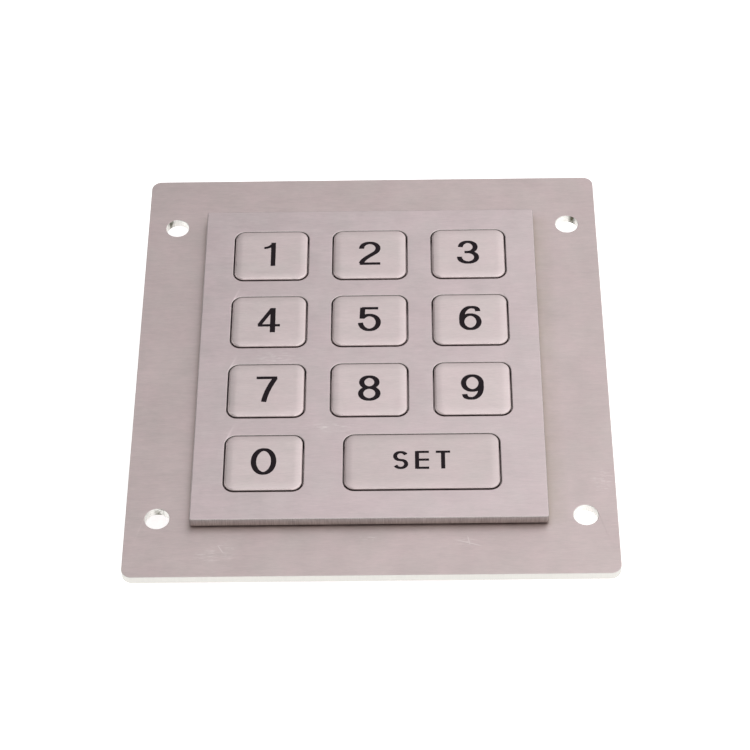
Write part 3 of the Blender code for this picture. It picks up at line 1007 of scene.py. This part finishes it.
def make_chip(looks):
    low, high = levels_of("controller_chip")
    size = box_size("controller_chip")
    middle = box_middle("controller_chip")
    body_size = (size.x - 2 * LEG_REACH, size.y - 2 * LEG_REACH)
    waist = (low + high) / 2
    profile = [
        (0.30 * MM, low, 0),
        (0.14 * MM, low, 0.04 * MM),
        (0.0, waist, 0.02 * MM),
        (0.14 * MM, high - 0.12 * MM, 0.04 * MM),
        (0.30 * MM, high - 0.12 * MM, 0),
    ]
    body = boxed("chip_body", body_size, 0.25 * MM, profile, middle)
    dimple_profile = [
        (0.3 * MM, low - 0.1 * MM, 0),
        (0.4 * MM, low - 0.1 * MM, 0),
        (0.4 * MM, low + 0.06 * MM, 0),
        (0.3 * MM, low + 0.08 * MM, 0),
    ]
    corner = (middle.x - 0.36 * body_size[0], middle.y + 0.36 * body_size[1])
    dimple = turned("chip_dimple", dimple_profile, corner, 24)
    chip = combine("chip_package", [body, dimple], "DIFFERENCE")
    finish_piece(chip, looks["chip"], "root", "chip_black", "controller_chip")

    foot_level = high - LEG_THICKNESS / 2
    bends = (
        (body_size[0] / 2 - 0.1 * MM, waist),
        (body_size[0] / 2 + 0.18 * MM, waist),
        (body_size[0] / 2 + 0.34 * MM, foot_level),
        (size.x / 2, foot_level),
    )
    legs = bmesh.new()
    for quarter in range(4):
        turn = Matrix.Rotation(math.pi / 2 * quarter, 3, "Z")
        outward = turn @ Vector((1.0, 0.0, 0.0))
        sideways = turn @ Vector((0.0, 1.0, 0.0))
        for index in range(LEG_COUNT):
            slide = sideways * ((index - (LEG_COUNT - 1) / 2) * LEG_PITCH)
            root = Vector((middle.x, middle.y, 0.0)) + slide
            path = [root + outward * reach + Vector((0.0, 0.0, level)) for reach, level in bends]
            ribbon(legs, path, sideways, LEG_WIDTH, LEG_THICKNESS)
    finish_piece(mesh_object("chip_legs", legs), looks["tin"], "root", "tinned_pin")


def make_cans(looks):
    low, high = levels_of("crystal")
    profile = [
        (0.8 * MM, low, 0),
        (0.42 * MM, low, 0.2 * MM),
        (0.34 * MM, high - 0.3 * MM, 0.08 * MM),
        (0.0, high - 0.3 * MM, 0.04 * MM),
        (0.0, high, 0.03 * MM),
        (0.3 * MM, high, 0),
    ]
    size = box_size("crystal")
    crystal = boxed("crystal_can", size, 0.5 * MM, profile, centre_of("crystal"))
    finish_piece(crystal, looks["can"], "root", "metal_can", "crystal")

    low, high = levels_of("capacitor")
    radius = box_size("capacitor").x / 2
    groove = high - 1.3 * MM
    profile = [
        (0.7 * radius, low + 0.22 * MM, 0),
        (radius - 0.55 * MM, low + 0.22 * MM, 0.1 * MM),
        (radius - 0.45 * MM, low, 0.1 * MM),
        (radius, low, 0.3 * MM),
        (radius, groove - 0.35 * MM, 0.15 * MM),
        (radius - 0.3 * MM, groove, 0.15 * MM),
        (radius, groove + 0.35 * MM, 0.15 * MM),
        (radius, high - 0.3 * MM, 0.12 * MM),
        (radius - 0.4 * MM, high - 0.3 * MM, 0.1 * MM),
        (radius - 0.4 * MM, high, 0),
    ]
    can = turned("capacitor_can", profile, centre_of("capacitor"), 48)
    finish_piece(can, looks["can"], "root", "metal_can", "capacitor")


def make_header(looks):
    low, high = levels_of("connector_header")
    size = box_size("connector_header")
    x, y = centre_of("connector_header")
    floor = high - HEADER_FLOOR
    profile = [
        (1.0 * MM, high, 0),
        (0.0, high, 0.15 * MM),
        (0.0, low, 0.15 * MM),
        (HEADER_WALL, low, 0.22 * MM),
        (HEADER_WALL, floor, 0.15 * MM),
        (1.6 * MM, floor, 0),
    ]
    pieces = [boxed("header_box", size, 0.35 * MM, profile, (x, y))]
    slot_end = low + HEADER_SLOT_DEPTH
    slot_profile = [
        (0.1 * MM, low - 1.0 * MM, 0),
        (0.0, low - 1.0 * MM, 0),
        (0.0, slot_end, 0.2 * MM),
        (0.3 * MM, slot_end, 0),
    ]
    slot_size = (HEADER_SLOT_WIDTH, 3 * HEADER_WALL)
    for side in (-1, 1):
        centre = (x + side * HEADER_SLOT_SHARE * size.x, y - size.y / 2)
        pieces.append(boxed(f"header_slot_{side}", slot_size, 0.1 * MM, slot_profile, centre))
    shroud = combine("header_shroud", pieces, "DIFFERENCE")
    finish_piece(shroud, looks["nylon"], "root", "header_nylon", "connector_header")

    for index in range(PIN_COUNT):
        node = f"header_pin_{index + 1}"
        low, high = levels_of(node)
        size = box_size(node)
        profile = [
            (0.36 * size.x, low, 0),
            (0.0, low + PIN_TAPER, 0.1 * MM),
            (0.0, high, 0),
            (0.1 * MM, high, 0),
        ]
        pin = boxed(f"contact_pin_{index + 1}", size, 0.03 * MM, profile, centre_of(node))
        finish_piece(pin, looks["tin"], "root", "tinned_pin", node)


# ---- rear cover and fasteners ----
COVER_SHEET = 1.0 * MM
TRAY_INSET = 6.3 * MM               # from the rim's edge to the tray's outer wall
RIM_CORNER = 1.0 * MM
TRAY_CORNER = 3.0 * MM
MOUTH_CLEARANCE = 0.3 * MM
THREAD_PITCH = 0.45 * MM
THREAD_DEPTH = 0.20 * MM
BORE_CLEARANCE = 0.02 * MM
SINK = 0.25 * MM                    # countersink at both ends of a nut's bore
NUT_CHAMFER_SHARE = 0.96            # chamfer circle on a nut's face, as a share across flats


def cover_corner(inset):
    """Corner radius of the pressed cover at a distance inside its rim."""
    rim_part = min(inset / TRAY_INSET, 1.0)
    past_wall = max(inset - TRAY_INSET, 0.0)
    return RIM_CORNER + (TRAY_CORNER - RIM_CORNER) * rim_part - 0.8 * past_wall


def straight(inner, outer, low, high):
    """Profile of a straight-sided cutter."""
    return [(inner, low, 0), (outer, low, 0), (outer, high, 0), (inner, high, 0)]


def make_rear_cover(looks):
    bottom, top = levels_of("rear_cover")
    profile = [
        (TRAY_INSET + 2.0 * MM, bottom, 0),
        (TRAY_INSET, bottom, 1.3 * MM),
        (TRAY_INSET, top - COVER_SHEET, 0.6 * MM),
        (0.0, top - COVER_SHEET, 0.12 * MM),
        (0.0, top, 0.12 * MM),
        (TRAY_INSET + COVER_SHEET, top, 1.3 * MM),
        (TRAY_INSET + COVER_SHEET, bottom + COVER_SHEET, 0.5 * MM),
        (TRAY_INSET + 2.0 * MM, bottom + COVER_SHEET, 0),
    ]
    size, centre = box_size("rear_cover"), centre_of("rear_cover")
    pieces = [boxed("pressed_tray", size, cover_corner, profile, centre)]
    header = box_size("connector_header")
    mouth = (header.x + 2 * MOUTH_CLEARANCE, header.y + 2 * MOUTH_CLEARANCE)
    through = straight(0.2 * MM, 0.0, bottom - COVER_SHEET, bottom + 2 * COVER_SHEET)
    pieces.append(boxed("cut_mouth", mouth, 0.5 * MM, through, centre_of("connector_header")))
    for node in STUDS:
        radius = box_size(node).x / 2 + STUD_CLEARANCE
        bore = straight(0.8 * radius, radius, top - 2 * COVER_SHEET, top + COVER_SHEET)
        pieces.append(turned(f"cut_{node}", bore, centre_of(node), 32))
    cover = combine("pressed_cover", pieces, "DIFFERENCE")
    keep_flats_flat(cover)
    finish_piece(cover, looks["cover"], "root", "rear_steel", "rear_cover")


def make_studs(looks):
    """Threaded weld studs: each ring's radius follows the thread's helix."""
    sides, levels_per_turn = 24, 6
    for node in STUDS:
        low, high = levels_of(node)
        middle = box_middle(node)
        crest = box_size(node).x / 2
        levels = round((high - low) / THREAD_PITCH * levels_per_turn)
        rings = []
        for level in range(levels + 1):
            height = low + (high - low) * level / levels
            lead_in = crest - THREAD_DEPTH - 0.1 * MM + 0.8 * (height - low)
            ring = []
            for side in range(sides):
                turn = side / sides
                phase = (height / THREAD_PITCH - turn) % 1.0
                radius = min(crest - THREAD_DEPTH * abs(2 * phase - 1), lead_in)
                ring.append((*polar(middle, radius, 2 * math.pi * turn), height))
            rings.append(ring)
        stud = loft(f"weld_{node}", rings)
        finish_piece(stud, looks["stud"], "root", "stud_steel", node)


def make_nuts(looks):
    """Hexagon nuts, chamfered on both faces, with a countersunk bore."""
    sides = 72
    chamfer_steps = 4
    for node, stud in zip(NUTS, STUDS):
        low, high = levels_of(node)
        size = box_size(node)
        middle = box_middle(node)
        corner_radius = max(size.x, size.y) / 2
        apothem = corner_radius * math.cos(math.pi / 6)
        bore = box_size(stud).x / 2 + BORE_CLEARANCE
        chamfer_circle = NUT_CHAMFER_SHARE * apothem
        chamfer_height = (corner_radius - chamfer_circle) * math.tan(math.pi / 6)

        def ring(height, limit):
            points = []
            for side in range(sides):
                angle = 2 * math.pi * side / sides
                from_flat = (angle % (math.pi / 3)) - math.pi / 6
                radius = min(apothem / math.cos(from_flat), limit)
                points.append((*polar(middle, radius, angle), height))
            return points

        steps = [step / chamfer_steps for step in range(chamfer_steps + 1)]
        spread = corner_radius - chamfer_circle
        outer = [(s * chamfer_height, chamfer_circle + s * spread) for s in steps]
        levels = [(low + rise, limit) for rise, limit in outer]
        levels += [(high - rise, limit) for rise, limit in reversed(outer)]
        levels += [(high, bore + SINK), (high - SINK, bore)]
        levels += [(low + SINK, bore), (low, bore + SINK)]
        rings = [ring(height, limit) for height, limit in levels]
        nut = loft(f"hex_{node}", rings, closed=True)
        finish_piece(nut, looks["zinc"], "root", "zinc_nut", node)


# ---- studio ----
SKY_LEFT = 0.08                     # studio walls: darker on the left, brighter on the right
SKY_RIGHT = 0.90
SKY_FAR_LEFT = 0.58                 # added where the wall comes round on the far left
SKY_LOW = 1.30                      # and they fade with height
SKY_HIGH = 1.00
FAR_HORIZON = 0.30                  # share of light left low down behind the unit
FLOOR_GLOW = 0.60                   # the pale floor is a lit table, so it throws no hard shadow
SIDE_REACH = (-0.45, 0.22)          # how far left and right the walls go from dark to bright
FAR_LEFT_REACH = (-0.75, -0.50)
HEIGHT_REACH = (0.3, 1.1)
LOW_REACH = (0.1, 0.5)
BEHIND_REACH = (0.60, 0.85)
SOFTBOXES = (                       # name, place, size, power
    ("overhead", (0.15, 0.10, 1.20), (1.6, 1.6), 4.0),
    ("front_fill", (-0.1, -1.3, 0.9), (1.4, 0.6), 2.4),
)
FLOOR_REACH = 3.0


def make_floor():
    glow = {"Emission_Color": (1.0, 1.0, 1.0), "Emission_Strength": FLOOR_GLOW}
    shader = Shader("studio_floor", (0.90, 0.90, 0.89), 0.75, **glow)
    speckle = shader.noise(40.0, 3.0, 0.5)
    tone = shader.remap(speckle, 0.3, 0.7, 0.0, 1.0)
    shader.set("Base Color", shader.mix(tone, (0.895, 0.895, 0.885), (0.905, 0.905, 0.895)))
    mesh = bpy.data.meshes.new("floor")
    points = [(x * FLOOR_REACH, y * FLOOR_REACH, 0) for x, y in CORNERS]
    mesh.from_pydata(points, [], [(0, 1, 2, 3)])
    mesh.materials.append(shader.material)
    floor = link("floor", mesh)


def make_softbox(name, location, size, power):
    """A rectangular lamp aimed at the unit."""
    light = bpy.data.lights.new(name, "AREA")
    light.shape = "RECTANGLE"
    light.size, light.size_y = size
    light.energy = power
    lamp = link(name, light)
    lamp.location = location
    lamp.rotation_euler = (-Vector(location)).to_track_quat("-Z", "Y").to_euler()


def make_lights():
    world = bpy.data.worlds.new("studio")
    world.use_nodes = True
    walls = NodeTree(world.node_tree, "Generated")
    direction = walls.axes()

    def ramp(axis, reach, start, end):
        return walls.remap(direction[axis], *reach, start, end, "SMOOTHSTEP")

    across = ramp("X", SIDE_REACH, SKY_LEFT, SKY_RIGHT)
    far_left = ramp("X", FAR_LEFT_REACH, SKY_FAR_LEFT, 0.0)
    height = ramp("Z", HEIGHT_REACH, SKY_LOW, SKY_HIGH)
    low_down = ramp("Z", LOW_REACH, 1.0 - FAR_HORIZON, 0.0)
    behind = ramp("Y", BEHIND_REACH, 0.0, 1.0)
    lit = walls.times(walls.plus(across, far_left), height)
    shade = walls.times(low_down, behind)
    background = walls.nodes["Background"]
    background.inputs["Color"].default_value = (1.0, 0.99, 0.99, 1.0)
    walls.link(walls.minus(lit, walls.times(lit, shade)), background, "Strength")
    bpy.context.scene.world = world
    for name, location, size, power in SOFTBOXES:
        make_softbox(name, location, size, power)


def make_camera():
    turn = (
        Matrix.Rotation(math.radians(CAMERA_AZIMUTH), 4, "Z")
        @ Matrix.Rotation(math.radians(90.0 - CAMERA_ELEVATION), 4, "X")
        @ Matrix.Rotation(math.radians(CAMERA_ROLL), 4, "Z")
    )
    aim = Matrix.Translation((*AIM_OFFSET, levels_of("flange_plate")[1]))
    back_off = Matrix.Translation((0.0, 0.0, CAMERA_DISTANCE))
    data = bpy.data.cameras.new("camera")
    data.sensor_width = 36.0
    data.lens = CAMERA_LENS
    camera = link("camera", data)
    camera.matrix_world = aim @ turn @ back_off
    bpy.context.scene.camera = camera
    bpy.context.scene.view_settings.view_transform = "Standard"


def main():
    make_camera()
    looks = make_materials()
    for make in (
        make_panel, make_key_plate, make_keys, make_legends, make_mat, make_domes, make_pills,
        make_board, make_chip, make_cans, make_header, make_rear_cover, make_studs, make_nuts,
    ):
        make(looks)
    make_floor()
    make_lights()


main()
